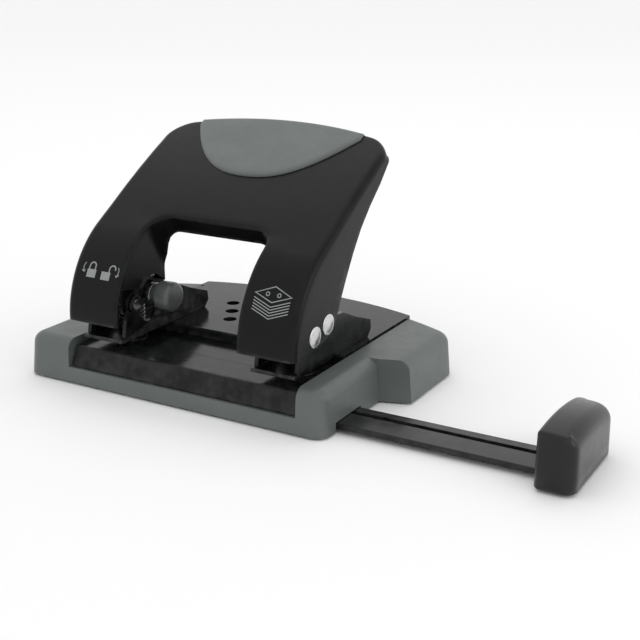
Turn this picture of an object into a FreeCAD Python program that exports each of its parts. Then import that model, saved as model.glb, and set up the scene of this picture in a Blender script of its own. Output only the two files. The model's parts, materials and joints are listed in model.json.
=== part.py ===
import FreeCAD, Part
import Sketcher
import math
import os

# Two-hole punch, millimetres. X runs to the right along the base, Y to the back,
# Z up. The origin is the middle of the underside, on the centre foot.

doc = FreeCAD.newDocument("hole_punch")
Vector = FreeCAD.Vector
Rotation = FreeCAD.Rotation
Sketch = Sketcher.Constraint

# ------------------------------------------------------------------ dimensions
DIMENSIONS = {
    # chip tray
    "foot_height": 0.8, "tray_top": 16.0, "tray_left": 66.4, "tray_right": 67.2,
    "tray_front": 46.4, "tray_corner_y": 30.5, "tray_rear_bow": 17.7,
    "step_side": 56.8, "step_back": 8.0, "step_slant": 3.6, "tray_draft": 4.0,
    "lip_top": 6.2, "ledge_drop": 0.1, "well_left": 47.0, "well_right": 46.4,
    "well_back": 46.6, "well_bow": 8.0, "chip_floor": 2.4, "chip_half": 44.4,
    "shoulder_round": 4.0, "corner_round": 8.0, "front_round": 5.0,
    # paper guide arm and its channel
    "arm_front": 37.4, "arm_back": 21.4, "arm_low": 1.7, "arm_high": 3.5,
    "arm_inner": 40.0, "arm_outer": 134.0, "arm_gap": 0.3,
    "channel_inner": 30.0, "channel_roof": 5.6,
    "groove_front": 27.8, "groove_back": 25.4, "groove_depth": 0.7,
    "block_left": 124.2, "block_right": 136.8, "block_front": 45.2, "block_back": 9.8,
    "block_low": 0.5, "block_high": 18.6, "block_round": 3.0,
    # frame
    "frame_half": 45.7, "plate_front": 41.4, "plate_back": 8.0, "plate_top": 13.4,
    "plate_thick": 1.6, "deck_front": 12.8, "deck_top": 16.6, "deck_skin": 1.4,
    "deck_back": 46.1, "deck_bow": 7.9, "ramp_front": 45.0, "ramp_low": 6.4,
    "hinge_x": 45.2, "hinge_z": 15.1, "knuckle_radius": 1.5, "hinge_pin_radius": 0.8,
    "sight_radius": 2.5,
    # punching stations
    "station": 35.0, "punch_y": 24.7, "punch_radius": 3.55, "die_depth": 4.2,
    "pivot_y": 33.1, "pivot_z": 29.3, "drive_z": 31.2, "pin_radius": 2.0,
    "head_radius": 3.5, "head_thick": 0.8, "throw": 8.61,
    "rivet_radius": 1.5, "bush_radius": 4.9, "die_radius": 5.5, "fit_gap": 0.05,
    "collar_low": 27.0, "punch_tip": 16.9, "mask_side": 18.4, "mask_bow": 7.4,
    "ear_outer": 8.4, "ear_thick": 1.5, "foot_thick": 1.4,
    # handle
    "handle_half": 45.84, "leg_inner": 24.25, "shell": 2.0, "leg_low": 23.6,
    "face_y": 45.4, "knee_z": 30.0, "bend_y": 24.3, "bend_z": 57.8, "top_y": 29.0,
    "top_z": 87.9, "knee_bow": 4.0, "face_bow": 1.3, "window_top": 59.0,
    "flange_low": 38.4, "flange_back": 18.0, "pad_thick": 1.2,
}
# Places of the guide-arm straps, rivets and screws; which pin stands where; the angle
# of the crank at rest above level; and the handle's full stroke in degrees.
STRAP_STATIONS = (-22.0, 49.0)
STRAP_SCREW_Y = (-39.2, -19.9)
RIVET_Y = (-7.5, 4.5)
BLOCK_SCREW = (130.0, -32.2)
PIN_PLACES = {"pivot": ("pivot_y", "pivot_z"), "drive": ("punch_y", "drive_z")}
START_ANGLE = 12.75
PRESS_ANGLE = 40.0
SIDES = {"left": -1, "right": 1}
sheet = doc.addObject("Spreadsheet::Sheet", "Sizes")
for row, (alias, number) in enumerate(DIMENSIONS.items(), start=1):
    sheet.set(f"A{row}", alias)
    sheet.set(f"B{row}", str(number))
    sheet.setAlias(f"B{row}", alias)
doc.recompute()


class Size:
    """A length that carries its value and the sheet expression that gives it."""

    def __init__(self, value, text):
        self.value = value
        self.text = text

    def _join(self, other, sign, value):
        return Size(value, f"({self.text} {sign} {size(other).text})")

    def __add__(self, other):
        return self._join(other, "+", self.value + size(other).value)

    def __sub__(self, other):
        return self._join(other, "-", self.value - size(other).value)

    def __mul__(self, other):
        return self._join(other, "*", self.value * size(other).value)

    def __truediv__(self, other):
        return self._join(other, "/", self.value / size(other).value)

    def __neg__(self):
        return Size(-self.value, f"(0 - {self.text})")


def size(item):
    """A Size from a Size, a cell's alias or a plain number."""
    if isinstance(item, Size):
        return item
    if isinstance(item, str):
        return Size(DIMENSIONS[item], f"Sizes.{item}")
    return Size(float(item), f"({float(item)!r})")


# ------------------------------------------------------------- building blocks
NODES = []


def node(item, label):
    """Name a finished sub-part and list it for writing."""
    item.Label = label
    NODES.append(item)
    return item


def body(name):
    return doc.addObject("PartDesign::Body", name + "_body")


def sketch(owner, plane, offset=0):
    """An empty sketch on one of the body's own planes, moved along its normal."""
    item = owner.newObject("Sketcher::SketchObject", "outline")
    base = [f for f in owner.Origin.OriginFeatures if f.Role == plane + "_Plane"][0]
    item.AttachmentSupport = [(base, "")]
    item.MapMode = "FlatFace"
    item.setExpression("AttachmentOffset.Base.z", size(offset).text)
    return item


def pin_point(item, geometry, end, x, y):
    """Fix one end of a sketch curve at (x, y)."""
    for kind, axis, where in (("DistanceX", -2, x), ("DistanceY", -1, y)):
        if abs(where.value) < 1e-9:
            item.addConstraint(Sketch("PointOnObject", geometry, end, axis))
        else:
            index = item.addConstraint(Sketch(kind, -1, 1, geometry, end, where.value))
            item.setExpression(f"Constraints[{index}]", where.text)


def outline(owner, plane, points, offset=0, bows=None):
    """A closed sketch through the points; bows gives the rise of a curved side."""
    item = sketch(owner, plane, offset)
    points = [(size(x), size(y)) for x, y in points]
    bows = bows or {}
    count = len(points)
    for index, (x, y) in enumerate(points):
        far_x, far_y = points[(index + 1) % count]
        start = Vector(x.value, y.value, 0)
        end = Vector(far_x.value, far_y.value, 0)
        if index in bows:
            rise = size(bows[index])
            across = (end - start).cross(Vector(0, 0, 1)).normalize()
            middle = (start + end) * 0.5 + across * rise.value
            item.addGeometry(Part.Arc(start, middle, end))
            first = 1 if item.getPoint(index, 1).isEqual(start, 1e-6) else 2
            span = (far_x - x) * (far_x - x) + (far_y - y) * (far_y - y)
            radius = (span / 4 + rise * rise) / (rise * 2)
            if rise.value < 0:
                radius = -radius
            round_rule = item.addConstraint(Sketch("Radius", index, radius.value))
            item.setExpression(f"Constraints[{round_rule}]", radius.text)
            pin_point(item, index, first, x, y)
            pin_point(item, index, 3 - first, far_x, far_y)
        else:
            item.addGeometry(Part.LineSegment(start, end))
            pin_point(item, index, 1, x, y)
            pin_point(item, index, 2, far_x, far_y)
    return item


def circles(owner, plane, centres, radius, offset=0):
    """A sketch of equal circles."""
    item = sketch(owner, plane, offset)
    for index, (x, y) in enumerate(centres):
        x = size(x)
        y = size(y)
        centre = Vector(x.value, y.value, 0)
        item.addGeometry(Part.Circle(centre, Vector(0, 0, 1), size(radius).value))
        rule = item.addConstraint(Sketch("Radius", index, size(radius).value))
        item.setExpression(f"Constraints[{rule}]", size(radius).text)
        pin_point(item, index, 3, x, y)
    return item


def extrude(owner, kind, profile, length, middle=False, back=False, taper=None):
    """Add (Pad) or remove (Pocket) the profile's extrusion."""
    item = owner.newObject("PartDesign::" + kind, kind.lower())
    item.Profile = profile
    item.setExpression("Length", size(length).text)
    item.Midplane = middle
    item.Reversed = back
    if taper is not None:
        item.setExpression("TaperAngle", size(taper).text)
    profile.Visibility = False
    doc.recompute()
    return item


def prism(name, points, low, high, bows=None):
    """An upright body between two levels."""
    owner = body(name)
    extrude(owner, "Pad", outline(owner, "XY", points, low, bows), size(high) - low)
    return owner


def fillet(owner, radius, wanted):
    """Round the edges of the body's present shape that the test picks."""
    base = owner.Tip
    names = [f"Edge{i}" for i, edge in enumerate(base.Shape.Edges, start=1) if wanted(edge)]
    item = owner.newObject("PartDesign::Fillet", "rounding")
    item.Base = (base, names)
    item.setExpression("Radius", size(radius).text)
    doc.recompute()
    return item


TURNS = {"x": Rotation(Vector(0, 1, 0), 90), "y": Rotation(Vector(1, 0, 0), -90),
         "z": Rotation()}


def place(item, low, axis="z"):
    item.Placement = FreeCAD.Placement(Vector(), TURNS[axis])
    for letter, where in zip("xyz", low):
        item.setExpression(f"Placement.Base.{letter}", size(where).text)
    return item


def block(low, high):
    """A box between two corners."""
    item = doc.addObject("Part::Box", "block")
    for side, start, end in zip(("Length", "Width", "Height"), low, high):
        item.setExpression(side, (size(end) - start).text)
    return place(item, low)


def rod(start, length, radius, axis="x"):
    """A cylinder along an axis from its start point."""
    item = doc.addObject("Part::Cylinder", "rod")
    item.setExpression("Radius", size(radius).text)
    item.setExpression("Height", size(length).text)
    return place(item, start, axis)


def rod_between(low, high, centre, radius, axis="x"):
    """A cylinder along X or Y between two stations, centred on the other two."""
    start = [low, *centre] if axis == "x" else [centre[0], low, centre[1]]
    return rod(start, size(high) - low, radius, axis)


def fuse(items):
    joined = doc.addObject("Part::MultiFuse", "joined")
    joined.Shapes = items
    return joined


def cut(base, tool):
    item = doc.addObject("Part::Cut", "cut")
    item.Base = base
    item.Tool = tool
    return item


def common(base, tool):
    item = doc.addObject("Part::Common", "common")
    item.Base = base
    item.Tool = tool
    return item


def group(items):
    """Separate solids that share one node."""
    item = doc.addObject("Part::Compound", "group")
    item.Links = items
    return item


def soften(base, radius, wanted):
    """Part fillet on the picked edges of a finished shape."""
    doc.recompute()
    item = doc.addObject("Part::Fillet", "softened")
    item.Base = base
    value = size(radius).value
    item.Edges = [(i, value, value) for i, edge in enumerate(base.Shape.Edges, start=1)
                  if wanted(edge)]
    doc.recompute()
    return item


def upright(edge):
    """Whether an edge runs mainly along Z."""
    box = edge.BoundBox
    return box.ZLength > 3 * max(box.XLength, box.YLength, 0.01)


def neg(item):
    return -size(item)


def station(side):
    """Middle plane of one punching station."""
    return size("station") * side


# ------------------------------------------------------------------- chip tray
def chip_tray():
    """Grey moulded tray: a well for the chips, with a broad shoulder on each side."""
    full = body("tray_shoulders")
    left = neg("tray_left")
    front = neg("tray_front")
    height = size("tray_top") - "foot_height"
    shape = outline(full, "XY", [
        (left, front), ("tray_right", front), ("tray_right", "tray_corner_y"),
        (left, "tray_corner_y")], "foot_height", {2: "tray_rear_bow"})
    extrude(full, "Pad", shape, height, taper=neg("tray_draft"))
    fillet(full, "corner_round", lambda e: upright(e) and e.BoundBox.YMin > 20)
    fillet(full, "front_round", lambda e: upright(e) and e.BoundBox.YMax < -40)
    fillet(full, "shoulder_round", lambda e: e.BoundBox.ZMin > 15.9)
    nose = body("tray_nose")
    shape = outline(nose, "XY", [
        (left, front), ("step_side", front), ("step_side", 20), (left, 20)], "foot_height")
    extrude(nose, "Pad", shape, height, taper=neg("tray_draft"))
    fillet(nose, "front_round", lambda e: upright(e) and e.BoundBox.YMax < -40)
    fillet(nose, "shoulder_round",
           lambda e: e.BoundBox.ZMin > 15.9 and e.BoundBox.YMin < 10)
    behind_step = prism("tray_step", [
        (-80, -10), (40, -10), ("step_side", neg("step_back")),
        (80, size("step_slant") * 2.23 - "step_back"), (80, 60), (-80, 60)], 0, 20)
    solid = fuse([nose, common(full, behind_step)])
    wide = [neg("well_left"), "well_right"]
    back = size("well_back") - "well_bow"
    behind = size("plate_back") + 0.5
    half = size("chip_half")
    arm_side = neg("arm_back") + 2.3
    rooms = [
        prism("plate_ledge", [
            (wide[0], neg("plate_front")), (wide[1], neg("plate_front")),
            (wide[1], behind), (wide[0], behind)],
            size("plate_top") - "plate_thick" - "ledge_drop", 40),
        prism("deck_ledge", [
            (wide[0], "plate_back"), (wide[1], "plate_back"), (wide[1], back),
            (wide[0], back)], size("plate_top") - "ledge_drop", 40, {2: "well_bow"}),
        prism("front_lip", [
            (wide[0], -60), (wide[1], -60), (wide[1], -40.8), (wide[0], -40.8)],
            "lip_top", 40),
        prism("chip_well", [
            (-half, arm_side), (half, arm_side), (half, back - 3), (-half, back - 3)],
            "chip_floor", 40, {2: "well_bow"}),
        prism("arm_well", [
            (-half, -39.4), (half, -39.4), (half, arm_side), (-half, arm_side)],
            "channel_roof", 40),
        prism("arm_channel", [
            (neg("channel_inner"), neg("arm_front") - 0.4), (80, neg("arm_front") - 0.4),
            (80, neg("arm_back") + 0.4), (neg("channel_inner"), neg("arm_back") + 0.4)],
            0, size("arm_high") + "arm_gap")]
    rooms += [prism("strap_seat", [
        (middle - 3.1, -40.5), (middle + 3.1, -40.5), (middle + 3.1, neg("arm_back") + 3.1),
        (middle - 3.1, neg("arm_back") + 3.1)], 0, 1.4) for middle in STRAP_STATIONS]
    solid = cut(solid, group(rooms))
    lugs = []
    for low, high in ((-10.0, -4.0), (8.0, 14.0), (26.0, 32.0)):
        low = size(low)
        lugs.append(rod_between(low, high, [neg("hinge_x"), "hinge_z"],
                                "knuckle_radius", "y"))
        lugs.append(block([neg("well_left") - 1.5, low, size("hinge_z") - 1.5],
                          [neg("hinge_x"), high, size("hinge_z") + 0.6]))
    pin_hole = rod([neg("hinge_x"), -12, "hinge_z"], 46, "hinge_pin_radius", "y")
    screw_holes = [rod([middle, y, 0], 3.7, 0.9, "z")
                   for middle in STRAP_STATIONS for y in STRAP_SCREW_Y]
    return node(cut(fuse([solid] + lugs), group([pin_hole] + screw_holes)), "chip_tray")


def feet():
    """Three flat rubber pads under the tray, their undersides at Z = 0."""
    top = size("foot_height")
    pads = [block([-60, -45.2, 0], [50, -40.6, top]),
            rod([0, 0, 0], top, 12, "z"),
            block([-45, 28, 0], [45, 34, top])]
    return node(group(pads), "rubber_feet")


def straps():
    """Two straps across the channel that hold the arm up, and their screws."""
    plates = []
    screws = []
    for middle in STRAP_STATIONS:
        plates.append(block([middle - 3, -40.4, 0.3],
                            [middle + 3, neg("arm_back") + 3, 1.4]))
        for y in STRAP_SCREW_Y:
            screws.append(rod([middle, y, 0.3], 3.4, 0.9, "z"))
    node(group([cut(plate, group(screws)) for plate in plates]), "arm_straps")
    node(group(screws), "strap_screws")


def hinge_pin():
    """Steel wire that the upper frame tips up on."""
    return node(rod([neg("hinge_x"), -12, "hinge_z"], 46, "hinge_pin_radius", "y"), "hinge_pin")


# ----------------------------------------------------------------- guide arm
def guide_arm():
    """Flat sliding arm with a groove along its top face."""
    owner = body("guide_arm")
    shape = outline(owner, "XY", [
        ("arm_inner", neg("arm_front")), ("arm_outer", neg("arm_front")),
        ("arm_outer", neg("arm_back")), ("arm_inner", neg("arm_back"))], "arm_low")
    extrude(owner, "Pad", shape, size("arm_high") - "arm_low")
    groove = outline(owner, "XY", [
        (size("arm_inner") + 6, neg("groove_front")), (128, neg("groove_front")),
        (128, neg("groove_back")), (size("arm_inner") + 6, neg("groove_back"))], "arm_high")
    extrude(owner, "Pocket", groove, "groove_depth")
    hole = circles(owner, "XY", [BLOCK_SCREW], 1.2, "arm_high")
    extrude(owner, "Pocket", hole, 10)
    fillet(owner, 0.5, lambda e: e.BoundBox.XLength > 80 and e.BoundBox.ZMin > 3.4
           and (e.BoundBox.YMax < -37 or e.BoundBox.YMin > -22))
    return node(owner, "guide_arm")


def stop_block():
    """Rounded finger block that the paper's edge rests against."""
    owner = body("stop_block")
    shape = outline(owner, "XY", [
        ("block_left", neg("block_front")), ("block_right", neg("block_front")),
        ("block_right", neg("block_back")), ("block_left", neg("block_back"))], "block_low")
    extrude(owner, "Pad", shape, size("block_high") - "block_low")
    fillet(owner, "block_round", upright)
    fillet(owner, 2.4, lambda e: e.BoundBox.ZMin > 17)
    socket = outline(owner, "XY", [
        (100, neg("arm_front")), ("arm_outer", neg("arm_front")),
        ("arm_outer", neg("arm_back")), (100, neg("arm_back"))], "arm_low")
    extrude(owner, "Pocket", socket, size("arm_high") - "arm_low", back=True)
    head_hole = circles(owner, "XY", [BLOCK_SCREW], 2.2, "block_low")
    extrude(owner, "Pocket", head_hole, size("arm_low") - "block_low", back=True)
    shank_hole = circles(owner, "XY", [BLOCK_SCREW], 1.2, "arm_high")
    extrude(owner, "Pocket", shank_hole, 4.3, back=True)
    return node(owner, "stop_block")


def block_screw():
    """Screw from below that holds the block on the arm's end."""
    x, y = BLOCK_SCREW
    return node(fuse([rod([x, y, size("arm_low") - 0.9], 0.9, 2.1, "z"),
                      rod([x, y, "arm_low"], 5.6, 1.2, "z")]), "block_screw")


# ---------------------------------------------------------------- upper frame
def rivet_places():
    """Where the rivets stand that hold the brackets, deck and die plate together."""
    return [(station(side), y) for side in SIDES.values() for y in RIVET_Y]


def die_plate():
    """Steel plate that carries the dies, under the front of the deck."""
    owner = body("die_plate")
    half = size("frame_half")
    shape = outline(owner, "XY", [
        (-half, neg("plate_front")), (half, neg("plate_front")),
        (half, "plate_back"), (-half, "plate_back")], size("plate_top") - "plate_thick")
    extrude(owner, "Pad", shape, "plate_thick")
    holes = circles(owner, "XY", [(neg("station"), neg("punch_y")), ("station", neg("punch_y"))],
                    "die_radius", "plate_top")
    extrude(owner, "Pocket", holes, "plate_thick")
    rivets = circles(owner, "XY", rivet_places(), "rivet_radius", "plate_top")
    extrude(owner, "Pocket", rivets, "plate_thick")
    return node(owner, "die_plate")


def front_ramp():
    """Black sloping fascia below the front edge of the die plate."""
    owner = body("front_ramp")
    top = size("plate_top")
    shape = outline(owner, "YZ", [
        (neg("ramp_front"), "ramp_low"), (-41.1, "ramp_low"), (-41.1, top - 1.8),
        (neg("plate_front") - 0.02, top - 1.8), (neg("plate_front") - 0.02, top),
        (neg("plate_front") - 0.8, top), (neg("ramp_front"), size("ramp_low") + 0.6)])
    extrude(owner, "Pad", shape, size("frame_half") * 2, middle=True)
    return node(owner, "front_ramp")


def deck_cover():
    """Thin black cover over the rear of the frame, with three sight holes."""
    owner = body("deck_cover")
    half = size("frame_half")
    side = size("deck_back") - "deck_bow"
    shape = outline(owner, "XY", [
        (-half, neg("deck_front")), (half, neg("deck_front")), (half, side), (-half, side)],
        "plate_top", {2: "deck_bow"})
    extrude(owner, "Pad", shape, size("deck_top") - "plate_top")
    inner = half - 1.6
    under = outline(owner, "XY", [
        (-inner, neg("deck_front") + 2.6), (inner, neg("deck_front") + 2.6),
        (inner, side - 1.6), (-inner, side - 1.6)],
        size("deck_top") - "deck_skin", {2: "deck_bow"})
    extrude(owner, "Pocket", under, 10)
    fillet(owner, 0.6, lambda e: e.BoundBox.ZMin > 16.5 and e.BoundBox.YMin < 40
           and e.BoundBox.XLength > 85 and e.BoundBox.YMax < 0)
    holes = circles(owner, "XY", [(-20.1, 18.3), (-14.8, 9.7), (-10.0, 1.2)],
                    "sight_radius", "deck_top")
    extrude(owner, "Pocket", holes, 5)
    rivets = circles(owner, "XY", rivet_places(), "rivet_radius", "deck_top")
    extrude(owner, "Pocket", rivets, 5)
    for low, high in ((-10.3, -3.7), (7.7, 14.3), (25.7, 32.3)):
        gap = outline(owner, "XY", [
            (-60, low), (neg("hinge_x") + 1.8, low), (neg("hinge_x") + 1.8, high),
            (-60, high)], "deck_top")
        extrude(owner, "Pocket", gap, 5)
    knuckles = [rod_between(low, high, [neg("hinge_x"), "hinge_z"], "knuckle_radius", "y")
                for low, high in ((-3.7, 7.7), (14.3, 25.7))]
    deep = size("deck_top") - "plate_top"
    bosses = [cut(rod([x, y, "plate_top"], deep, 3, "z"),
                  rod([x, y, "plate_top"], deep, "rivet_radius", "z"))
              for x, y in rivet_places()]
    pin_hole = rod([neg("hinge_x"), -12, "hinge_z"], 46,
                   size("hinge_pin_radius") + 0.05, "y")
    return node(cut(fuse([owner] + knuckles + bosses), pin_hole), "deck_cover")


# --------------------------------------------------------- punching stations
def bracket(name, side):
    """Steel U-channel: a foot over the die plate and two ears for the pins."""
    owner = body(name)
    middle = station(side)
    foot = size("deck_top")
    shape = outline(owner, "YZ", [
        (-41.0, foot), (-41.0, foot + "foot_thick"), (-38.8, foot + "foot_thick"),
        (-36.9, 27.5), (-36.3, 31.5), (-33.0, 34.2), (-24.5, 36.7), (-18.0, 36.7),
        (-14.0, 31.1), (-9.1, 30.7), (0.2, 26.6), (10.8, 22.7), (11.3, 19.0), (9.0, foot)],
        middle)
    extrude(owner, "Pad", shape, size("ear_outer") * 2, middle=True)
    gap = outline(owner, "YZ", [
        (-60, foot + "foot_thick"), (60, foot + "foot_thick"), (60, 60), (-60, 60)], middle)
    extrude(owner, "Pocket", gap, (size("ear_outer") - "ear_thick") * 2, middle=True)
    guide = circles(owner, "XY", [(middle, neg("punch_y"))], "bush_radius",
                    foot + "foot_thick")
    extrude(owner, "Pocket", guide, "foot_thick")
    rivets = circles(owner, "XY", [(middle, y) for y in RIVET_Y], "rivet_radius",
                     foot + "foot_thick")
    extrude(owner, "Pocket", rivets, "foot_thick")
    low = middle - 9
    slot = arc_slot(low)
    pivot = rod([low, neg("pivot_y"), "pivot_z"], 18, size("pin_radius") + "fit_gap")
    holes = [slot, pivot]
    if side < 0:
        holes += [rod([-28.3, y, z], 2, 4.3) for y, z in drive_ends()]
    return node(cut(owner, group(holes)), name)


def drive_ends():
    """Where the drive pin stands with the handle up and with it pressed down."""
    throw = size("throw")
    ends = []
    for angle in (START_ANGLE, START_ANGLE - PRESS_ANGLE):
        turned = f"Sizes.throw * cos({angle} deg)"
        raised = f"Sizes.throw * sin({angle} deg)"
        across = Size(throw.value * math.cos(math.radians(angle)), turned)
        upward = Size(throw.value * math.sin(math.radians(angle)), raised)
        ends.append((across - "pivot_y", upward + "pivot_z"))
    return ends


def arc_slot(low):
    """The curved slot that the drive pin sweeps round the pivot, as a tool."""
    width = size("pin_radius") + 0.3
    pivot = [low, neg("pivot_y"), "pivot_z"]
    sector = rod(pivot, 18, size("throw") + width)
    sector.Angle = PRESS_ANGLE
    # The cylinder's own angle starts along its X axis, which the turn brings to -Z.
    sector.Placement = FreeCAD.Placement(
        sector.Placement.Base, Rotation(Vector(1, 0, 0), 90 + START_ANGLE - PRESS_ANGLE)
        * TURNS["x"])
    inside = rod(pivot, 18, size("throw") - width)
    ends = [rod([low, y, z], 18, width) for y, z in drive_ends()]
    return fuse([cut(sector, inside)] + ends)


def station_parts(name, side):
    """Die, guide bush, spring, punch and washer of one station."""
    x = station(side)
    y = neg("punch_y")
    foot_top = size("deck_top") + "foot_thick"
    bore = size("punch_radius") + "fit_gap"

    def ring(label, low, high, inner, outer):
        length = size(high) - low
        return node(cut(rod([x, y, low], length, outer, "z"), rod([x, y, low], length, inner, "z")),
                    label)

    ring(name + "_die", size("plate_top") - "die_depth", "plate_top", bore, "die_radius")
    ring(name + "_guide_bush", "deck_top", foot_top, bore, "bush_radius")
    ring(name + "_spring", foot_top, "collar_low", 4.1, 5.2)
    ring(name + "_washer", "collar_low", size("collar_low") + 1, "punch_radius", 5.1)
    shank = rod([x, y, "punch_tip"], size("collar_low") + 1.5 - "punch_tip", "punch_radius", "z")
    head = rod([x, y, size("collar_low") + 1], 7.4, 5.1, "z")
    tip = rod([x - 6, y, size("punch_tip") - 5.2], 12, 6)
    play = 0.15
    slot = block([x - 6, y - 0.75 - "pin_radius" - play, size("drive_z") - "pin_radius" - play],
                 [x + 6, y + 0.22 + "pin_radius" + play, size("drive_z") + "pin_radius" + play])
    node(cut(fuse([shank, head]), group([tip, slot])), name + "_punch")


def rivets():
    """Four rivets through brackets, deck and die plate."""
    pins = []
    top = size("deck_top") + "foot_thick"
    bottom = size("plate_top") - "plate_thick"
    for x, y in rivet_places():
        pins.append(fuse([rod([x, y, bottom], top - bottom, "rivet_radius", "z"),
                          rod([x, y, top], 0.9, 2.6, "z"),
                          rod([x, y, bottom - 0.7], 0.7, 2.4, "z")]))
    return node(group(pins), "bracket_rivets")


# --------------------------------------------------------------------- handle


def side_span(side, inner, outer):
    """Start and length along X of a piece between two distances from the middle."""
    length = size(outer) - inner
    return (size(inner) if side > 0 else -size(outer)), length


def pin(name, side, kind, inner):
    """Headed pin through the handle wall, the ears and the lever link."""
    y, z = PIN_PLACES[kind]
    start, length = side_span(side, inner, "handle_half")
    head_start, head_length = side_span(side, "handle_half",
                                        size("handle_half") + "head_thick")
    shank = rod([start, neg(y), z], length, "pin_radius")
    head = rod([head_start, neg(y), z], head_length, "head_radius")
    edge = size("handle_half").value + size("head_thick").value
    return node(soften(fuse([shank, head]), 0.5,
                       lambda e: abs(abs(e.CenterOfMass.x) - edge) < 0.01), name)


def link(name, side):
    """Steel U-shaped lever inside a handle leg; both pins pass through it."""
    owner = body(name)
    middle = station(side)
    shape = outline(owner, "YZ", [
        (-37.3, 26.4), (-37.3, 33.0), (-34.5, 46.0), (-22.5, 46.0), (-20.7, 34.0),
        (-20.9, 28.3), (-28.0, 25.6)], middle)
    extrude(owner, "Pad", shape, 13.2, middle=True)
    inside = outline(owner, "YZ", [(-60, 10), (0, 10), (0, 44.8), (-60, 44.8)], middle)
    extrude(owner, "Pocket", inside, 11.2, middle=True)
    holes = [rod([middle - 9, neg(y), z], 18, "pin_radius") for y, z in PIN_PLACES.values()]
    holes.append(rod([middle, -28.5, 44], 4, 1.5, "z"))
    return node(cut(owner, group(holes)), name)


def face_profile(depth):
    """Corner points of the handle's side view, moved inward by a depth."""
    y = size(depth) - "face_y"
    return [(y, size("knee_z")),
            (size(depth) * 0.545 - "bend_y", size("bend_z") - size(depth) * 0.839),
            (size(depth) * 0.438 + "top_y", size("top_z") - size(depth) * 0.899)]


def handle_shell():
    """One moulded shell: sloping face, two legs and a hand opening between them."""
    wedge = body("handle_wedge")
    face = face_profile(0)
    under = face_profile("shell")[-1]
    shape = outline(wedge, "YZ", [
        (neg("face_y"), "leg_low")] + face + [
        under, (18.0, 78.4), (16.0, 75.4), (11.5, 71.3), (4.2, 65.1), (-2.8, 58.0), (-9.6, 48.6),
        (-16.3, 37.3), (-21.0, 28.4), (-32.5, 25.2), (-40.4, 25.6), (-41.2, "leg_low")],
        bows={1: neg("knee_bow"), 2: neg("face_bow")})
    extrude(wedge, "Pad", shape, size("handle_half") * 2, middle=True)
    hollow = body("handle_hollow")
    inner = face_profile("shell")
    shape = outline(hollow, "YZ", [(inner[0][0], 10)] + inner + [(60, 70), (60, 10)],
                    bows={1: neg("knee_bow"), 2: neg("face_bow")})
    extrude(hollow, "Pad", shape, (size("handle_half") - "shell") * 2, middle=True)
    rim = body("window_rim")
    edge = size("leg_inner") + "shell"
    shape = outline(rim, "XZ", [
        (-edge, "flange_low"), (edge, "flange_low"), (edge, size("window_top") + "shell"),
        (-edge, size("window_top") + "shell")], 60)
    extrude(rim, "Pad", shape, 100, back=True)
    fillet(rim, 8.0, lambda e: e.BoundBox.YLength > 50 and e.BoundBox.ZMin > 50)
    window = body("window")
    edge = size("leg_inner")
    shape = outline(window, "XZ", [
        (-edge, 0), (edge, 0), (edge, "window_top"), (-edge, "window_top")], 60)
    extrude(window, "Pad", shape, 100, back=True)
    fillet(window, 6.0, lambda e: e.BoundBox.YLength > 50 and e.BoundBox.ZMin > 50)
    flange = common(rim, block([-50, -60, 0], [50, neg("flange_back"), 90]))
    shell = cut(wedge, cut(hollow, flange))
    bosses = [common(rod([station(side), -28.5, 46], 14, 3, "z"), wedge)
              for side in SIDES.values()]
    shell = common(cut(fuse([shell] + bosses), window), rear_mask())
    holes = [rod([station(side), -28.5, 45], 5, 1.5, "z") for side in SIDES.values()]
    for side in SIDES.values():
        start, length = side_span(side, 40, 50)
        holes += [rod([start, neg(y), z], length, "pin_radius")
                  for y, z in PIN_PLACES.values()]
    return node(cut(shell, group(holes)), "handle_shell")


def rear_mask():
    """Upright prism whose back is the bowed rear edge of the handle."""
    mask = body("rear_mask")
    half = size("handle_half") + 2
    shape = outline(mask, "XY", [(-half, -60), (half, -60), (half, "mask_side"),
                                 (-half, "mask_side")], 0, {2: "mask_bow"})
    extrude(mask, "Pad", shape, 120)
    fillet(mask, 7.0, lambda e: upright(e) and e.BoundBox.YMin > 0)
    return mask


def palm_pad():
    """Grey rubber pad on the upper middle of the sloping face."""
    band = body("pad_band")
    low = face_profile(0)
    high = face_profile(neg("pad_thick"))
    shape = outline(band, "YZ", [low[1], low[2], high[2], high[1]],
                    bows={0: neg("face_bow"), 2: "face_bow"})
    extrude(band, "Pad", shape, 80, middle=True)
    mask = body("pad_mask")
    shape = outline(mask, "XY", [
        (-14.0, 2.3), (14.0, 2.3), (34.5, 22.5), (34.5, 40), (-34.5, 40), (-34.5, 22.5)],
        0, {0: 4.5})
    extrude(mask, "Pad", shape, 120)
    return node(common(common(band, mask), rear_mask()), "palm_pad")


def pin_clips():
    """Retaining rings on the inner ends of the pins."""
    rings = []
    for side in SIDES.values():
        start, length = side_span(side, 25.5, 26.3)
        for kind, (y, z) in PIN_PLACES.items():
            if side > 0 or kind == "pivot":
                rings.append(cut(rod([start, neg(y), z], length, 3.1),
                                 rod([start, neg(y), z], length, "pin_radius")))
    return node(group(rings), "pin_clips")


def link_screws():
    """Screws that hold the lever links to the bosses under the handle's face."""
    return node(group([fuse([rod([station(side), -28.5, 44.8], 5.0, 1.5, "z"),
                             rod([station(side), -28.5, 43.7], 1.1, 2.6, "z")])
                       for side in SIDES.values()]), "link_screws")


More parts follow.
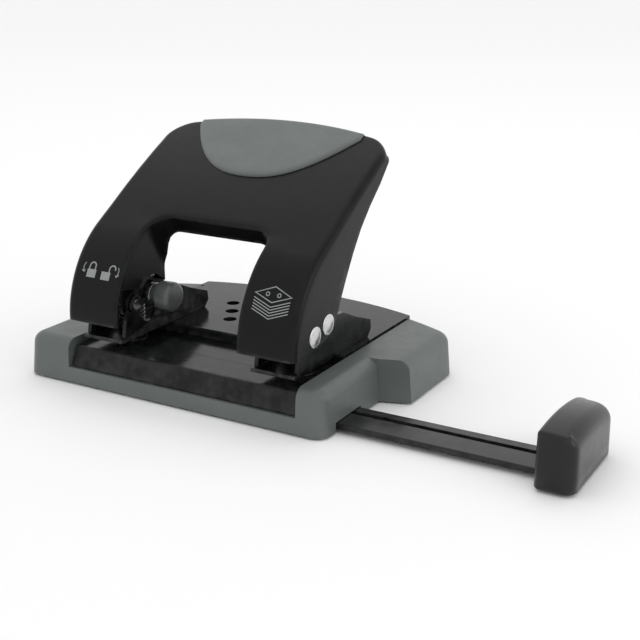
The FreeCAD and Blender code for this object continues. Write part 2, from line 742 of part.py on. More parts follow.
# ----------------------------------------------------------------------- lock
def lock():
    """Sliding knob on the long drive pin, with the steel sleeve that locks."""
    centre = [neg("punch_y"), "drive_z"]
    bore = size("pin_radius") + "fit_gap"
    sleeve = fuse([rod([-25.4, *centre], 2.0, 4.0), rod([-23.4, *centre], 5.4, 3.0)])
    node(cut(sleeve, rod([-25.4, *centre], 7.4, bore)), "lock_sleeve")
    cap = fuse([rod([-23.4, *centre], 2.0, 5.1),
                soften(rod([-21.7, *centre], 7.8, 5.8), 2.2,
                       lambda e: e.CenterOfMass.x > -14)])
    socket = [rod([-23.4, *centre], 5.4, 3.0), rod([-18.0, *centre], 2.0, bore)]
    node(cut(cap, group(socket)), "lock_knob")


# --------------------------------------------------------------------- output
def write_parts():
    """Check every object, then write one STEP file per sub-part."""
    doc.recompute()
    for item in doc.Objects:
        if "Invalid" in item.State or "Error" in item.State:
            raise RuntimeError(f"{item.Label} did not rebuild: {item.State}")
    os.makedirs("parts", exist_ok=True)
    for item in NODES:
        if item.Shape.isNull() or not item.Shape.isValid():
            raise RuntimeError(f"{item.Label} has no valid shape")
        item.Shape.exportStep(f"parts/{item.Label}.step")


chip_tray()
feet()
straps()
hinge_pin()
guide_arm()
stop_block()
block_screw()
die_plate()
front_ramp()
deck_cover()
rivets()
handle_shell()
palm_pad()
for name, side in SIDES.items():
    bracket(name + "_bracket", side)
    station_parts(name, side)
    link(name + "_lever_link", side)
    pin(name + "_pivot_pin", side, "pivot", 25.0)
    pin(name + "_drive_pin", side, "drive", 25.0 if side > 0 else 19.0)
pin_clips()
link_screws()
lock()
write_parts()
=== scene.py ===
import json
import math
import bmesh
import bpy
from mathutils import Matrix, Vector


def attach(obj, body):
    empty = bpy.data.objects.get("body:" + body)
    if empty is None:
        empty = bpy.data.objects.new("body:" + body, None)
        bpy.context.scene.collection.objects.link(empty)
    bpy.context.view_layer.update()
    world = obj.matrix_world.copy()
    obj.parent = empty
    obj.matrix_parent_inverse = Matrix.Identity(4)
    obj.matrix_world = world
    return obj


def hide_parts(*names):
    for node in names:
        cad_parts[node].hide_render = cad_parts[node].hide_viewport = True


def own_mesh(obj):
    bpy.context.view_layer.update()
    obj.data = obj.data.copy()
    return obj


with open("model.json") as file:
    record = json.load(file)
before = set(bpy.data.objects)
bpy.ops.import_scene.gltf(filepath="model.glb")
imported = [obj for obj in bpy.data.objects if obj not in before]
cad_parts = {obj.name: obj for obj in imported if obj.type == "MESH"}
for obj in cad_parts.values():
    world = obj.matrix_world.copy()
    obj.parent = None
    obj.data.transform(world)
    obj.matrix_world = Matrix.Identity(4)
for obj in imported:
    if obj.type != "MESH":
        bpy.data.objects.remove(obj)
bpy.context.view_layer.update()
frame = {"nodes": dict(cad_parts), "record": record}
MM = 0.001


# ---------------------------------------------------------------- camera, stage
AZIMUTH = math.radians(29.9)
ELEVATION = math.radians(18.2)
DISTANCE = 0.4263
AIM = Vector((0.01915, 0.01723, 0.01643))
LENS = 65.02
FLOOR_HALF = 6.0
FLOOR_PAINT = (0.955, 0.955, 0.955)
WORLD_STRENGTH = 0.97
LIGHT_AIM = Vector((0.01, 0, 0.03))


def add_camera():
    """A camera in front, to the right of the object and a little above it."""
    back = Vector((math.sin(AZIMUTH) * math.cos(ELEVATION),
                   -math.cos(AZIMUTH) * math.cos(ELEVATION), math.sin(ELEVATION)))
    data = bpy.data.cameras.new("camera")
    data.lens = LENS
    data.sensor_width = 36
    data.clip_start = 0.01
    camera = bpy.data.objects.new("camera", data)
    camera.location = AIM + back * DISTANCE
    camera.rotation_euler = back.to_track_quat("Z", "Y").to_euler()
    bpy.context.scene.collection.objects.link(camera)
    bpy.context.scene.camera = camera


def add_light(name, place, size, power):
    """A square area light, turned toward the object."""
    data = bpy.data.lights.new(name, "AREA")
    data.shape = "RECTANGLE"
    data.size = data.size_y = size
    data.energy = power
    lamp = bpy.data.objects.new(name, data)
    lamp.location = place
    lamp.rotation_euler = (Vector(place) - LIGHT_AIM).to_track_quat("Z", "Y").to_euler()
    bpy.context.scene.collection.objects.link(lamp)


def add_stage():
    """A wide pale floor, two soft lights and a pale world."""
    mesh = bpy.data.meshes.new("floor")
    half = FLOOR_HALF
    mesh.from_pydata([(-half, -half, 0), (half, -half, 0), (half, half, 0), (-half, half, 0)],
                     [], [(0, 1, 2, 3)])
    floor = bpy.data.objects.new("floor", mesh)
    bpy.context.scene.collection.objects.link(floor)
    paint = bpy.data.materials.new("floor_paint")
    paint.use_nodes = True
    shader = paint.node_tree.nodes["Principled BSDF"]
    shader.inputs["Base Color"].default_value = (*FLOOR_PAINT, 1)
    shader.inputs["Roughness"].default_value = 0.9
    shader.inputs["Specular IOR Level"].default_value = 0.1
    mesh.materials.append(paint)
    world = bpy.data.worlds.new("studio")
    world.use_nodes = True
    sky = world.node_tree.nodes["Background"]
    sky.inputs["Color"].default_value = (1, 1, 1, 1)
    sky.inputs["Strength"].default_value = WORLD_STRENGTH
    bpy.context.scene.world = world
    add_light("overhead", (-0.2, 0.3, 1.0), 0.9, 0.8)
    add_light("right_side", (1.1, 0.1, 0.4), 0.7, 1.6)
    bpy.context.scene.view_settings.view_transform = "Standard"


# ------------------------------------------------------------------- materials
class Paint:
    """A node material built from a few texture layers."""

    def __init__(self, name, color, rough, metal=0.0, **sockets):
        self.material = bpy.data.materials.new(name)
        self.material.use_nodes = True
        self.tree = self.material.node_tree
        self.shader = self.tree.nodes["Principled BSDF"]
        self.shader.inputs["Base Color"].default_value = (*color, 1)
        self.shader.inputs["Roughness"].default_value = rough
        self.shader.inputs["Metallic"].default_value = metal
        for socket, value in sockets.items():
            self.shader.inputs[socket.replace("_", " ")].default_value = value
        self.coords = self.add("ShaderNodeTexCoord")

    def add(self, kind, **sockets):
        """A new node with some of its input values set."""
        node = self.tree.nodes.new(kind)
        for socket, value in sockets.items():
            node.inputs[socket.replace("_", " ")].default_value = value
        return node

    def link(self, source, target):
        self.tree.links.new(source, target)

    def noise(self, scale, detail):
        """A noise texture that stays with the piece."""
        noise = self.add("ShaderNodeTexNoise", Scale=scale, Detail=detail)
        self.link(self.coords.outputs["Object"], noise.inputs["Vector"])
        return noise.outputs["Fac"]

    def ramp(self, source, first, last, low=0.0, high=1.0):
        """Carry a texture's values from one range over to another."""
        ramp = self.add("ShaderNodeMapRange", From_Min=first, From_Max=last,
                        To_Min=low, To_Max=high)
        self.link(source, ramp.inputs["Value"])
        return ramp.outputs["Result"]

    def uneven_gloss(self, source, low, high):
        """Roughness that wanders between two values."""
        self.link(self.ramp(source, 0.3, 0.7, low, high), self.shader.inputs["Roughness"])

    def tint(self, source, dark, light):
        """Colour variation between two tones."""
        ramp = self.add("ShaderNodeValToRGB")
        for element, place, tone in zip(ramp.color_ramp.elements, (0.35, 0.65), (dark, light)):
            element.position = place
            element.color = (*tone, 1)
        self.link(source, ramp.inputs["Fac"])
        self.link(ramp.outputs["Color"], self.shader.inputs["Base Color"])

    def worn_edges(self, color, amount):
        """Lighter rubbed tone on convex edges, broken up by noise."""
        shape = self.add("ShaderNodeNewGeometry")
        share = self.add("ShaderNodeMath")
        share.operation = "MULTIPLY"
        self.link(self.ramp(shape.outputs["Pointiness"], 0.51, 0.60, 0.0, amount),
                  share.inputs[0])
        self.link(self.ramp(self.noise(240, 4), 0.35, 0.65), share.inputs[1])
        base = self.shader.inputs["Base Color"]
        blend = self.add("ShaderNodeMixRGB", Color2=(*color, 1))
        self.link(share.outputs["Value"], blend.inputs["Fac"])
        self.link(base.links[0].from_socket, blend.inputs["Color1"])
        self.link(blend.outputs["Color"], base)

    def relief(self, source, depth):
        """Fine surface relief; depth is in metres."""
        bump = self.add("ShaderNodeBump", Strength=1.0, Distance=depth)
        self.link(source, bump.inputs["Height"])
        self.link(bump.outputs["Normal"], self.shader.inputs["Normal"])


def scaled(color, factor):
    return tuple(min(1.0, part * factor) for part in color)


def moulded(name, color, rough, depth=0.00002, spread=0.06, **sockets):
    """Moulded plastic: fine spark texture, faint mottling, slightly uneven gloss."""
    paint = Paint(name, color, rough, **sockets)
    paint.tint(paint.noise(60, 3), scaled(color, 1 - spread), scaled(color, 1 + spread))
    paint.uneven_gloss(paint.noise(220, 4), rough * 0.88, rough * 1.14)
    paint.worn_edges(tuple(0.5 * part + 0.06 for part in color), 0.5)
    paint.relief(paint.noise(9000, 1), depth)
    return paint.material


def metal(name, color, rough):
    """Bare or plated metal with a fine grain and a slightly uneven polish."""
    paint = Paint(name, color, rough, metal=1.0)
    paint.tint(paint.noise(300, 4), scaled(color, 0.9), scaled(color, 1.08))
    paint.uneven_gloss(paint.noise(900, 3), rough * 0.75, rough * 1.3)
    paint.relief(paint.noise(2500, 2), 0.000012)
    return paint.material


def enamel(name, color, rough, gloss):
    """Sprayed enamel: smooth gloss with a faint orange peel and rubbed edges."""
    paint = Paint(name, color, rough, Specular_IOR_Level=gloss)
    paint.tint(paint.noise(40, 2), scaled(color, 0.92), scaled(color, 1.1))
    paint.uneven_gloss(paint.noise(150, 3), rough * 0.8, rough * 1.25)
    paint.worn_edges((0.09, 0.09, 0.088), 0.55)
    paint.relief(paint.noise(450, 2), 0.00003)
    return paint.material


def rubber(name, color, rough):
    """Matt rubber: a soft sheen, faint mottling and a very fine grain."""
    paint = Paint(name, color, rough, Sheen_Weight=0.15)
    paint.tint(paint.noise(90, 4), scaled(color, 0.93), scaled(color, 1.07))
    paint.uneven_gloss(paint.noise(500, 3), rough * 0.92, rough * 1.08)
    paint.relief(paint.noise(3800, 2), 0.00004)
    return paint.material


BLACK = (0.004, 0.004, 0.0042)
TRAY_GREY = (0.098, 0.112, 0.109)
PAD_GREY = (0.112, 0.128, 0.123)

MATERIALS = {
    "tray_plastic": moulded("tray_plastic", TRAY_GREY, 0.42),
    "rubber_grey": rubber("rubber_grey", PAD_GREY, 0.62),
    "foot_rubber": rubber("foot_rubber", (0.03, 0.03, 0.03), 0.8),
    "shell_black": moulded("shell_black", BLACK, 0.3, spread=0.1, depth=0.000004,
                           Specular_IOR_Level=0.16),
    "ramp_black": moulded("ramp_black", (0.004, 0.004, 0.004), 0.38, depth=0.000005,
                          Specular_IOR_Level=0.22),
    "deck_black": enamel("deck_black", (0.005, 0.006, 0.006), 0.15, 0.17),
    "bracket_black": enamel("bracket_black", (0.002, 0.0024, 0.0024), 0.25, 0.24),
    "arm_black": moulded("arm_black", BLACK, 0.24, depth=0.000004,
                         Specular_IOR_Level=0.35),
    "pin_chrome": metal("pin_chrome", (0.62, 0.62, 0.63), 0.2),
    "steel": metal("steel", (0.3, 0.3, 0.31), 0.3),
    "spring_steel": metal("spring_steel", (0.13, 0.13, 0.135), 0.36),
    "knob_grey": moulded("knob_grey", (0.07, 0.078, 0.076), 0.3),
    "zinc": metal("zinc", (0.58, 0.58, 0.56), 0.35),
}


def soft_edges(item, width, segments, angle):
    """Round the edges sharper than an angle; width is in millimetres."""
    bevel = item.modifiers.new("soft_edges", "BEVEL")
    bevel.width = width * MM
    bevel.segments = segments
    bevel.limit_method = "ANGLE"
    bevel.angle_limit = math.radians(angle)
    return bevel


def finish_cad_nodes():
    """Give every CAD node its material, soft edges and smooth shading."""
    slots = {part["node"]: part["material_slot"] for part in frame["record"]["subparts"]}
    for name, item in frame["nodes"].items():
        item.data.materials.clear()
        item.data.materials.append(MATERIALS[slots[name]])
        for face in item.data.polygons:
            face.material_index = 0
        weld = item.modifiers.new("weld", "WELD")
        weld.merge_threshold = 0.002 * MM
        soft_edges(item, 0.18, 2, 35)
        shade = item.modifiers.new("shading", "WEIGHTED_NORMAL")
        shade.weight = 80
        item.data.shade_smooth()


# ---------------------------------------------------------------- mesh helpers
def add_mesh(name, points, faces, slot, body, replaces=()):
    """A new piece from points in millimetres, riding on one CAD body."""
    mesh = bpy.data.meshes.new(name)
    mesh.from_pydata([[value * MM for value in point] for point in points], [], faces)
    mesh.validate()
    work = bmesh.new()
    work.from_mesh(mesh)
    bmesh.ops.remove_doubles(work, verts=work.verts, dist=0.001 * MM)
    bmesh.ops.recalc_face_normals(work, faces=work.faces)
    work.to_mesh(mesh)
    work.free()
    mesh.shade_smooth()
    mesh.materials.append(MATERIALS[slot])
    item = bpy.data.objects.new(name, mesh)
    bpy.context.scene.collection.objects.link(item)
    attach(item, body)
    if replaces:
        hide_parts(*replaces)
    return item


def quads(rows, columns, closed=False):
    """Faces of a regular grid stored row by row; closed joins its last column to its first."""
    faces = []
    for row in range(rows - 1):
        for col in range(columns if closed else columns - 1):
            side = (col + 1) % columns
            low = row * columns
            faces.append((low + col, low + side, low + columns + side, low + columns + col))
    return faces


def flat(rows):
    """The points of a grid as one list, row after row."""
    return [point for row in rows for point in row]


def smooth_step(value, low, high):
    """Rise from 0 to 1 between two values, gently at both ends."""
    share = clamped((value - low) / (high - low))
    return share * share * (3 - 2 * share)


def clamped(share):
    return max(0.0, min(1.0, share))


def spread(low, high, count):
    """Evenly spaced values from low to high, both included."""
    return [low + (high - low) * step / (count - 1) for step in range(count)]


def arc_points(start, end, bow, count):
    """Points on a circular arc; a positive bow bulges to the left of travel."""
    a, b = Vector(start), Vector(end)
    chord = (b - a).length
    radius = (chord * chord / 4 + bow * bow) / (2 * bow)
    along = (b - a) / chord
    left = Vector((-along.y, along.x))
    centre = (a + b) / 2 + left * (bow - radius)
    half = math.asin(chord / 2 / radius)
    return [centre + left * (radius * math.cos(turn)) + along * (radius * math.sin(turn))
            for turn in spread(-half, half, count)]


class Track:
    """A polyline that can be read by distance along it."""

    def __init__(self, points):
        self.points = [Vector(point) for point in points]
        self.marks = [0.0]
        for one, two in zip(self.points, self.points[1:]):
            self.marks.append(self.marks[-1] + (two - one).length)
        self.length = self.marks[-1]

    def at(self, distance):
        last = len(self.points) - 2
        index = 0
        while index < last and self.marks[index + 1] < distance:
            index += 1
        span = self.marks[index + 1] - self.marks[index]
        return self.points[index].lerp(self.points[index + 1],
                                       (distance - self.marks[index]) / span)

    def heading(self, distance):
        step = 0.6
        return (self.at(min(self.length, distance + step))
                - self.at(max(0.0, distance - step))).normalized()

    def find(self, axis, value):
        """Distance at which one coordinate first reaches a value."""
        for index in range(len(self.points) - 1):
            one, two = self.points[index][axis], self.points[index + 1][axis]
            if one <= value <= two and two > one:
                part = (value - one) / (two - one)
                return self.marks[index] + part * (self.marks[index + 1] - self.marks[index])
        return self.length


# --------------------------------------------------------------------- handle
# Lengths are in millimetres. The face and rear tracks are side views, in (Y, Z).
PIVOT = (-33.1, 29.3)
DRIVE = (-24.7, 31.2)
HALF = 46.2
SKIN = 2.0
SIDE_ROUND, TOP_ROUND, RIM_ROUND = 2.5, 1.4, 1.3
CORNER_ROUND = 7.0
OPENING_HALF, OPENING_TOP, OPENING_ROUND = 24.25, 59.2, 9.0
FLANGE_BACK = -18.0
FLANGE_STARTS, FLANGE_FULL = 37.6, 39.6
FLANGE_LEAST, FLANGE_MOST = 0.3, 4.5
KNOB_NOTCH = 7.0
TOP_SIDE, TOP_BOW, TOP_HALF = 18.4, 7.4, 47.8
TOP_LIP = 0.8
BEND = (-24.3, 57.8)
TOP = (29, 87.9)
FACE = Track([(-46, 24.2), (-45.9, 27)] + arc_points((-45.5, 30), BEND, 4.1, 20)[:-1]
             + arc_points(BEND, TOP, 1.3, 40))
REAR = Track([(-42, 24.2), (-40.4, 25.6), (-36.5, 25.0), (-32.5, 25.2), (-26, 26.4),
              (-21, 28.8), (-18.4, 32.6), (-16.3, 37.0), (-9.6, 48.6), (-2.8, 58),
              (4.2, 65.1), (11.5, 71.3), (16.4, 76), (18.6, 79.4)])
# Places along the face and the places along the rear edge that stand opposite them.
REAR_MATCH = [(0, 0), (4, 3.7), (8.5, 11.6), (13, 20), (18, 27), (28, 34.5), (40, 42),
              (FACE.find(0, 15.5), REAR.length)]


def on_face(x, distance, lift=0.0):
    """Point on the handle's front face; lift is along the outward normal."""
    spot = FACE.at(distance)
    way = FACE.heading(distance)
    return (x, spot.x - way.y * lift, spot.y + way.x * lift)


def rear_of(distance):
    """Rear edge of the side wall opposite a place on the face."""
    for (low, first), (high, second) in zip(REAR_MATCH, REAR_MATCH[1:]):
        if distance <= high:
            return REAR.at(first + (second - first) * (distance - low) / (high - low))
    return REAR.points[-1]


def top_edge(x):
    """Depth (Y) of the handle's rear top edge."""
    return TOP_SIDE + TOP_BOW * (1 - (x / TOP_HALF) ** 2)


def rounded_path(corners, radii, count):
    """Polyline with rounded corners; each corner is a list of count points."""
    path = []
    for index, corner in enumerate(corners):
        here = Vector(corner)
        radius = radii[index]
        if not radius:
            path.append([here])
            continue
        before = (Vector(corners[index - 1]) - here).normalized()
        after = (Vector(corners[index + 1]) - here).normalized()
        half = math.acos(max(-1, min(1, before.dot(after)))) / 2
        reach = radius / math.tan(half)
        centre = here + (before + after).normalized() * (radius / math.sin(half))
        start, end = here + before * reach - centre, here + after * reach - centre
        turn = start.angle_signed(end)
        bend = []
        for part in spread(0, 1, count):
            c, s = math.cos(-turn * part), math.sin(-turn * part)
            bend.append(centre + Vector((start.x * c - start.y * s, start.x * s + start.y * c)))
        path.append(bend)
    return path


# Side lines of the opening and of the face, and where the two end along the face.
OPENING_X = OPENING_HALF + RIM_ROUND
OPENING_T = FACE.find(1, OPENING_TOP) + RIM_ROUND
WIDE = HALF - SIDE_ROUND
CROWN = FACE.find(0, top_edge(WIDE))


def arch(half, top, radius, bends):
    """An upside-down U with rounded corners, in (x, distance along the face)."""
    return rounded_path([(-half, 0), (-half, top), (half, top), (half, 0)],
                        [0, radius, radius, 0], bends)


def skin_rims():
    """The rim of the hand opening and the rim of the face, matched point for point."""
    legs, bends, bridge, shoulders = 34, 11, 41, 5
    hole = arch(OPENING_X, OPENING_T, OPENING_ROUND, bends)
    rim = arch(WIDE, CROWN, CORNER_ROUND, bends)
    leg = [Vector((-OPENING_X, t)) for t in spread(0, hole[1][0].y, legs)][:-1]
    over = [Vector((x, OPENING_T)) for x in spread(hole[1][-1].x, hole[2][0].x, bridge)]
    inner = leg + hole[1] + over[1:-1] + hole[2]
    inner += [Vector((OPENING_X, point.y)) for point in reversed(leg)]
    shoulder = spread(hole[1][0].y, rim[1][0].y, shoulders + 1)[:-1]
    side = [Vector((-WIDE, point.y)) for point in leg]
    side += [Vector((-WIDE, t)) for t in shoulder] + rim[1]
    middle = len(inner) - 2 * len(side)
    over = [Vector((x, CROWN)) for x in spread(rim[1][-1].x, rim[2][0].x, middle + 2)]
    outer = side + over[1:-1] + [Vector((-point.x, point.y)) for point in reversed(side)]
    return inner, outer, rim[1][0].y


def lifted(point):
    """Follow the bowed top edge near the crown."""
    share = max(0.0, (point.y - OPENING_T) / (CROWN - OPENING_T))
    bow = FACE.find(0, top_edge(point.x)) - CROWN
    return Vector((point.x, point.y + bow * share * share))


def outward(path, index):
    """The direction in the face that points away from the opening."""
    one, two = path[max(0, index - 1)], path[min(len(path) - 1, index + 1)]
    way = (two - one).normalized()
    return Vector((-way.y, way.x))


def short_of_knob(y, z, way):
    """How far the flange may run back before it meets the knob's notch."""
    away_y, away_z = DRIVE[0] - y, DRIVE[1] - z
    along = away_y * way.y - away_z * way.x
    aside = away_y * way.x + away_z * way.y
    if abs(aside) >= KNOB_NOTCH:
        return math.inf
    return along - math.sqrt(KNOB_NOTCH ** 2 - aside ** 2)


def flange_rows(inner):
    """The flange round the opening, from its rear edge up to the rim's rounding."""
    starts, full_at = FACE.find(1, FLANGE_STARTS), FACE.find(1, FLANGE_FULL)
    rows = []
    for depth in spread(1, 0, 9):
        row = []
        for index, point in enumerate(inner):
            edge = point - outward(inner, index) * RIM_ROUND
            x, y, z = on_face(edge.x, edge.y, -RIM_ROUND)
            way = FACE.heading(edge.y)
            full = max(FLANGE_MOST, (FLANGE_BACK - y) / max(0.35, way.y))
            if x < 0:
                full = min(full, short_of_knob(y, z, way))
            share = clamped((edge.y - starts) / (full_at - starts))
            reach = (FLANGE_LEAST + share * (full - FLANGE_LEAST)) * depth
            row.append((x, y + way.y * reach, z - way.x * reach))
        rows.append(row)
    return rows


def rim_rows(inner):
    """The rounding between the flange and the face."""
    rows = []
    for turn in spread(0, math.pi / 2, 6)[1:]:
        row = []
        for index, point in enumerate(inner):
            spot = point - outward(inner, index) * (RIM_ROUND * math.cos(turn))
            row.append(on_face(spot.x, spot.y, -RIM_ROUND * (1 - math.sin(turn))))
        rows.append(row)
    return rows


def face_rows(inner, outer):
    """The face between the two rims."""
    rows = []
    for share in spread(0, 1, 26)[1:]:
        spots = [lifted(one.lerp(two, share)) for one, two in zip(inner, outer)]
        rows.append([on_face(spot.x, spot.y) for spot in spots])
    return rows


def side_rows(outer, bend_t):
    """The rounding at the face's outer rim, then the side walls and the top's thin lip."""
    curved = [lifted(point) for point in outer]
    on_top = [smooth_step(point.y, bend_t, CROWN) for point in outer]
    rows = []
    for turn in spread(0, math.pi / 2, 8)[1:]:
        row = []
        for index, point in enumerate(curved):
            radius = SIDE_ROUND + (TOP_ROUND - SIDE_ROUND) * on_top[index]
            spot = point + outward(curved, index) * (radius * math.sin(turn))
            drop = radius * (1 - math.cos(turn))
            row.append(on_face(spot.x, min(spot.y, FACE.length), -drop))
        rows.append(row)
    last = rows[-1]
    for share in spread(0, 1, 11)[1:]:
        row = []
        for index, point in enumerate(curved):
            x, y, z = last[index]
            way = FACE.heading(point.y)
            thin = Vector((y + way.y * TOP_LIP, z - way.x * TOP_LIP))
            goal = rear_of(point.y).lerp(thin, on_top[index])
            row.append((x, y + (goal.x - y) * share, z + (goal.y - z) * share))
        rows.append(row)
    return rows


def handle_skin():
    """Outer skin of the handle: legs, bridge, rounded edges, side walls, hand opening."""
    inner, outer, bend_t = skin_rims()
    rows = (flange_rows(inner) + rim_rows(inner) + face_rows(inner, outer)
            + side_rows(outer, bend_t))
    skin = add_mesh("handle_skin", flat(rows), quads(len(rows), len(inner)), "shell_black",
                    "handle", ["handle_shell"])
    wall = skin.modifiers.new("wall", "SOLIDIFY")
    wall.thickness = SKIN * MM
    wall.offset = -1
    soft_edges(skin, 0.45, 3, 60).harden_normals = True
    return skin


# ------------------------------------------------------------------- palm pad
PAD_HALF, PAD_FRONT, PAD_RISE = 34.0, -2.5, 22.6
PAD_SLOPE = 1.75
PAD_OVERHANG = 0.5
# The pad's cross-section at its rim: distance from the rim and height above the face.
PAD_EDGE = [(0.0, 0.25), (0.12, 0.62), (0.4, 0.95), (0.85, 1.15), (1.5, 1.25)]
PAD_RIM = PAD_EDGE[-1][0]
# How deep the rim's two sunken rows lie under the face.
PAD_ROOT, PAD_NECK = -1.9, -0.5


def pad_low(x):
    """Lower edge (Y) of the palm pad."""
    return PAD_FRONT + PAD_RISE * abs(x / PAD_HALF) ** 2.4


def pad_height(distance):
    """Height of the pad above the face at a distance from its edge."""
    for (near, low), (far, high) in zip(PAD_EDGE, PAD_EDGE[1:]):
        if distance <= far:
            return low + (high - low) * max(0.0, distance - near) / (far - near)
    return PAD_EDGE[-1][1]


def palm_rubber():
    """Soft inlay that stands a little proud and wraps over the top edge."""
    steps = [near for near, _ in PAD_EDGE]
    sides = [PAD_HALF - step for step in steps[:-1]]
    middle = spread(PAD_RIM - PAD_HALF, PAD_HALF - PAD_RIM, 66)
    stations = [-x for x in sides] + middle + sides[::-1]
    inner = spread(0, 1, 20)[1:-1]
    last = len(steps) * 2 + len(inner) - 1
    rows = []
    for row in range(-2, last + 3):
        line = []
        for x in stations:
            low, high = FACE.find(0, pad_low(x)), FACE.find(0, top_edge(x) + PAD_OVERHANG)
            span = high - low
            edge = min(PAD_RIM, span / 2.2)
            if row < len(steps):
                along = steps[max(0, row)] * edge / PAD_RIM
            elif row < len(steps) + len(inner):
                along = edge + (span - 2 * edge) * inner[row - len(steps)]
            else:
                along = span - steps[max(0, last - row)] * edge / PAD_RIM
            slope = 1 / math.hypot(1, PAD_SLOPE * abs(x / PAD_HALF) ** 1.4)
            lift = pad_height(min(along * slope, span - along, PAD_HALF - abs(x)))
            if row in (-2, last + 2):
                lift = PAD_ROOT
            elif row in (-1, last + 1):
                lift = PAD_NECK
            line.append(on_face(x, low + along, lift))
        rows.append(line)
    return add_mesh("palm_rubber", flat(rows), quads(len(rows), len(stations)), "rubber_grey",
                    "handle", ["palm_pad"])


# ------------------------------------------------------------ printed pictograms
INK_LIFT = 0.05


def ribbon(points, faces, path, width):
    """Flat stroke laid on the handle's face along a path of (x, distance)."""
    path = [Vector(spot) for spot in path]
    closed = (path[0] - path[-1]).length < 0.01
    start = len(points)
    for index, spot in enumerate(path):
        before = path[index - 1] if index else (path[-2] if closed else spot)
        last = index == len(path) - 1
        after = path[index + 1] if not last else (path[1] if closed else spot)
        one = (spot - before).normalized() if spot != before else (after - spot).normalized()
        two = (after - spot).normalized() if spot != after else one
        way = (one + two).normalized() if (one + two).length > 0.1 else two
        out = Vector((-way.y, way.x))
        reach = width / 2 / max(0.5, out.dot(Vector((-two.y, two.x))))
        points.append(on_face(spot.x + out.x * reach, spot.y + out.y * reach, INK_LIFT))
        points.append(on_face(spot.x - out.x * reach, spot.y - out.y * reach, INK_LIFT))
    for index in range(len(path) - 1):
        low = start + index * 2
        faces.append((low, low + 1, low + 3, low + 2))


def curve(centre, radius, first, last, count):
    """Arc of a circle between two angles in degrees."""
    return [(centre[0] + radius * math.cos(math.radians(turn)),
             centre[1] + radius * math.sin(math.radians(turn)))
            for turn in spread(first, last, count)]


def padlock(points, faces, x, t, swing):
    """Closed or swung-open padlock: a solid body with a bowed shackle."""
    ribbon(points, faces, [(x - 1.9, t), (x + 1.9, t)], 2.9)
    base, middle, radius = t + 1.4, x + swing, 1.25
    free_end = base + 1.0 if swing else base
    ribbon(points, faces, [(middle - radius, base)]
           + curve((middle, base + 1.3), radius, 180, 0, 12)
           + [(middle + radius, free_end)], 0.5)


def arrow(points, faces, x, t, side):
    """Small turned arrow beside a padlock."""
    first, last = (-40, 40) if side > 0 else (220, 140)
    ribbon(points, faces, curve((x - side * 2.2, t), 2.4, first, last, 8), 0.32)
    ribbon(points, faces, [(x - 0.7, t - 1.2), (x - side * 0.4, t - 1.8),
                           (x + 0.6, t - 1.0)], 0.32)


def pictograms():
    """Lock marks on the left leg and a stack of sheets on the right leg."""
    points, faces = [], []
    padlock(points, faces, -37.6, 17.4, 0.0)
    padlock(points, faces, -31.4, 17.2, 2.4)
    arrow(points, faces, -41.2, 19.4, -1)
    arrow(points, faces, -26.4, 19.2, 1)
    left, middle, right = 28.6, 35.3, 42.0
    for level in range(5):
        low = 13.4 + level * 0.95
        ribbon(points, faces, [(left, low + 1.9), (middle, low - 0.6), (right, low + 1.9)], 0.3)
    ribbon(points, faces, [(left, 20.6), (middle, 18.1), (right, 20.6), (middle, 23.4),
                           (left, 20.6)], 0.34)
    for x in (33.2, 37.4):
        ribbon(points, faces, curve((x, 20.7), 0.62, 0, 360, 13), 0.3)
    marks = add_mesh("leg_marks", points, faces, "tray_plastic", "handle")
    marks.data.materials[0] = moulded("mark_ink", (0.25, 0.27, 0.27), 0.5)
    return marks


# ---------------------------------------------------------- other rounded parts
def rounded_loop(corners, radii):
    """Closed outline with rounded corners as a list of points about 1.6 mm apart."""
    ring = [corners[-1]] + list(corners) + [corners[0]]
    bends = rounded_path(ring, [0] + list(radii) + [0], 8)[1:-1]
    loop = []
    for index, bend in enumerate(bends):
        after = bends[(index + 1) % len(bends)]
        gap = after[0] - bend[-1]
        steps = max(2, int(gap.length / 1.6))
        loop += bend + [bend[-1] + gap * part for part in spread(0, 1, steps + 1)[1:-1]]
    return loop


CHAMFER = 0.5


def pillow(loop, rounds, top, low, flare):
    """Points and faces of an upright block whose top edges are rounded.

    rounds is (left, right, front, rear); top gives the height at a place; flare is how
    much wider the foot is than the top. The lowest ring is drawn in by CHAMFER.
    """
    count = len(loop)
    normals, sizes = [], []
    for index in range(count):
        way = (loop[(index + 1) % count] - loop[index - 1]).normalized()
        out = Vector((way.y, -way.x))
        normals.append(out)
        left, right, front, rear = rounds
        across = (right if out.x > 0 else left) * out.x ** 2
        sizes.append(across + (rear if out.y > 0 else front) * out.y ** 2)
    rows = []
    for share in (0.0, 0.04, 0.35, 0.7):
        row = []
        for spot, out, size in zip(loop, normals, sizes):
            place = spot + out * (flare * (1 - share) - (CHAMFER if share == 0.0 else 0.0))
            height = low + (top(spot.x, spot.y) - size - low) * share
            row.append((place.x, place.y, height))
        rows.append(row)
    for turn in spread(0, math.pi / 2, 8):
        row = []
        for spot, out, size in zip(loop, normals, sizes):
            place = spot - out * (size * (1 - math.cos(turn)))
            row.append((place.x, place.y,
                        top(place.x, place.y) - size * (1 - math.sin(turn))))
        rows.append(row)
    last = rows[-1]
    middle_x = sum(point[0] for point in last) / count
    middle_y = sum(point[1] for point in last) / count
    for share in spread(0, 0.96, 8)[1:]:
        row = []
        for point in last:
            x = point[0] + (middle_x - point[0]) * share
            y = point[1] + (middle_y - point[1]) * share
            row.append((x, y, top(x, y)))
        rows.append(row)
    faces = quads(len(rows), count, closed=True)
    faces.append(tuple(reversed(range(count))))
    start = (len(rows) - 1) * count
    faces.append(tuple(start + index for index in range(count)))
    return flat(rows), faces


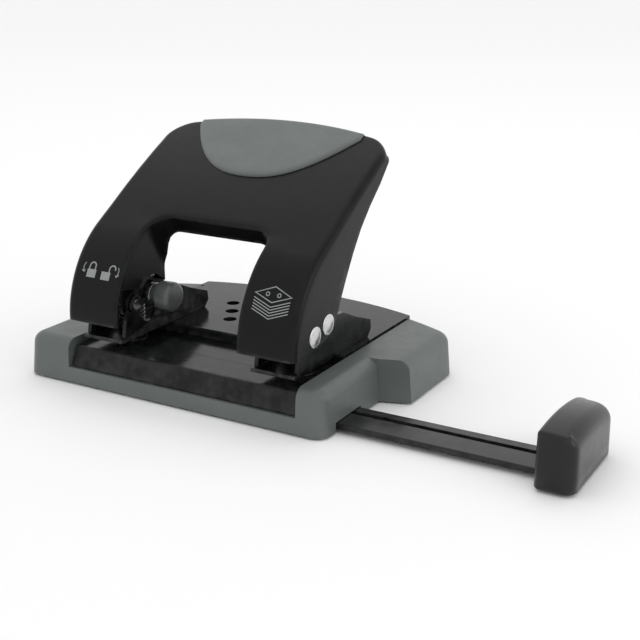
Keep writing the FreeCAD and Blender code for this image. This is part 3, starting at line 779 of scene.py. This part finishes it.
def stop_fin():
    """Finger block at the end of the guide arm, crowned and rounded toward the rear."""
    left, right, front, rear = 125.0, 136.9, -45.3, -7.4
    loop = rounded_loop([(left, front), (right, front), (right, rear), (left, rear)],
                        [1.6, 3.4, 5.5, 4.0])

    def crown(x, y):
        """Height of the top: arched from front to rear, falling off to the right."""
        ridge = 19.6 - 0.0052 * (y + 32) ** 2
        return ridge - 0.008 * max(0.0, x - left - 1) ** 2

    points, faces = pillow(loop, (1.3, 4.2, 1.6, 4.6), crown, 0.9, 0.2)
    return add_mesh("stop_fin", points, faces, "arm_black", "guide", ["stop_block"])


def turned(profile, centre, count):
    """Points and faces of a part turned about X; profile is (place along X, radius)."""
    points = []
    for along, radius in profile:
        for step in range(count):
            turn = 2 * math.pi * step / count
            points.append((along, centre[0] + radius * math.cos(turn),
                           centre[1] + radius * math.sin(turn)))
    faces = quads(len(profile), count, closed=True)
    faces.append(tuple(range(count)))
    start = (len(profile) - 1) * count
    faces.append(tuple(start + index for index in range(count)))
    return points, faces


def knob():
    """Moulded push knob on a short neck, with well rounded ends and a slight crown."""
    neck = 3.7
    profile = [(-23.3, 3.1), (-23.3, neck), (-21.5, neck)]
    for turn in spread(0, math.pi / 2, 8)[1:]:
        profile.append((-20.1 - 1.4 * math.cos(turn), neck + 1.4 * math.sin(turn)))
    for turn in spread(0, math.pi / 2, 9):
        profile.append((-16.3 + 1.9 * math.sin(turn), 3.3 + 1.9 * math.cos(turn)))
    profile += [(-14.25, 2.4), (-14.15, 1.3), (-14.1, 0.2)]
    points, faces = turned(profile, DRIVE, 40)
    return add_mesh("push_knob", points, faces, "knob_grey", "lock", ["lock_knob"])


# A rivet head's section: how far it stands out of its seat, and its radius there.
HEAD_PROFILE = [(0, 3.3), (0.25, 3.6), (0.5, 3.6), (0.62, 3.5), (0.66, 3.2), (0.62, 3.0),
                (0.66, 2.8), (0.8, 2.0), (0.88, 1.0), (0.9, 0.3)]
HEAD_SUNK = 0.25


def pin_head(name, side, centre):
    """Domed rivet head with a fine shoulder on the outside of the leg."""
    seat = HALF - HEAD_SUNK
    profile = [(side * (seat + out), radius) for out, radius in HEAD_PROFILE]
    points, faces = turned(profile, centre, 36)
    return add_mesh(name, points, faces, "pin_chrome", "handle")


STATION = 35
COIL_RADIUS, WIRE_RADIUS = 4.6, 0.42
COIL_LOW, COIL_RISE = 18.45, 7.1
COIL_TURNS, END_TURNS, END_LIFT = 6.5, 0.75, 0.5


def spring(name, side):
    """Return spring round one punch, with closed turns at both ends."""
    steps, ring = 26, 8
    total = int(COIL_TURNS * steps)
    free_turns = COIL_TURNS - 2 * END_TURNS
    points = []
    for step in range(total + 1):
        turn = step / steps
        rise = COIL_RISE * min(max(turn - END_TURNS, 0), free_turns) / free_turns
        start = min(turn, END_TURNS) / END_TURNS
        end = max(turn - COIL_TURNS + END_TURNS, 0) / END_TURNS
        height = COIL_LOW + END_LIFT * (start + end) + rise
        angle = 2 * math.pi * turn
        for part in range(ring):
            way = 2 * math.pi * part / ring
            radius = COIL_RADIUS + WIRE_RADIUS * math.cos(way)
            points.append((side * STATION + radius * math.cos(angle),
                           DRIVE[0] + radius * math.sin(angle),
                           height + WIRE_RADIUS * math.sin(way)))
    faces = quads(total + 1, ring, closed=True)
    faces.append(tuple(range(ring)))
    faces.append(tuple(total * ring + part for part in range(ring)))
    coil = add_mesh(f"{name}_coil", points, faces, "spring_steel", "frame",
                    [f"{name}_spring"])
    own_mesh(coil)
    return coil


add_camera()
add_stage()
finish_cad_nodes()
handle_skin()
palm_rubber()
pictograms()
stop_fin()
knob()
for name, side in (("left", -1), ("right", 1)):
    spring(name, side)
    pin_head(f"{name}_pivot_head", side, PIVOT)
    pin_head(f"{name}_drive_head", side, DRIVE)
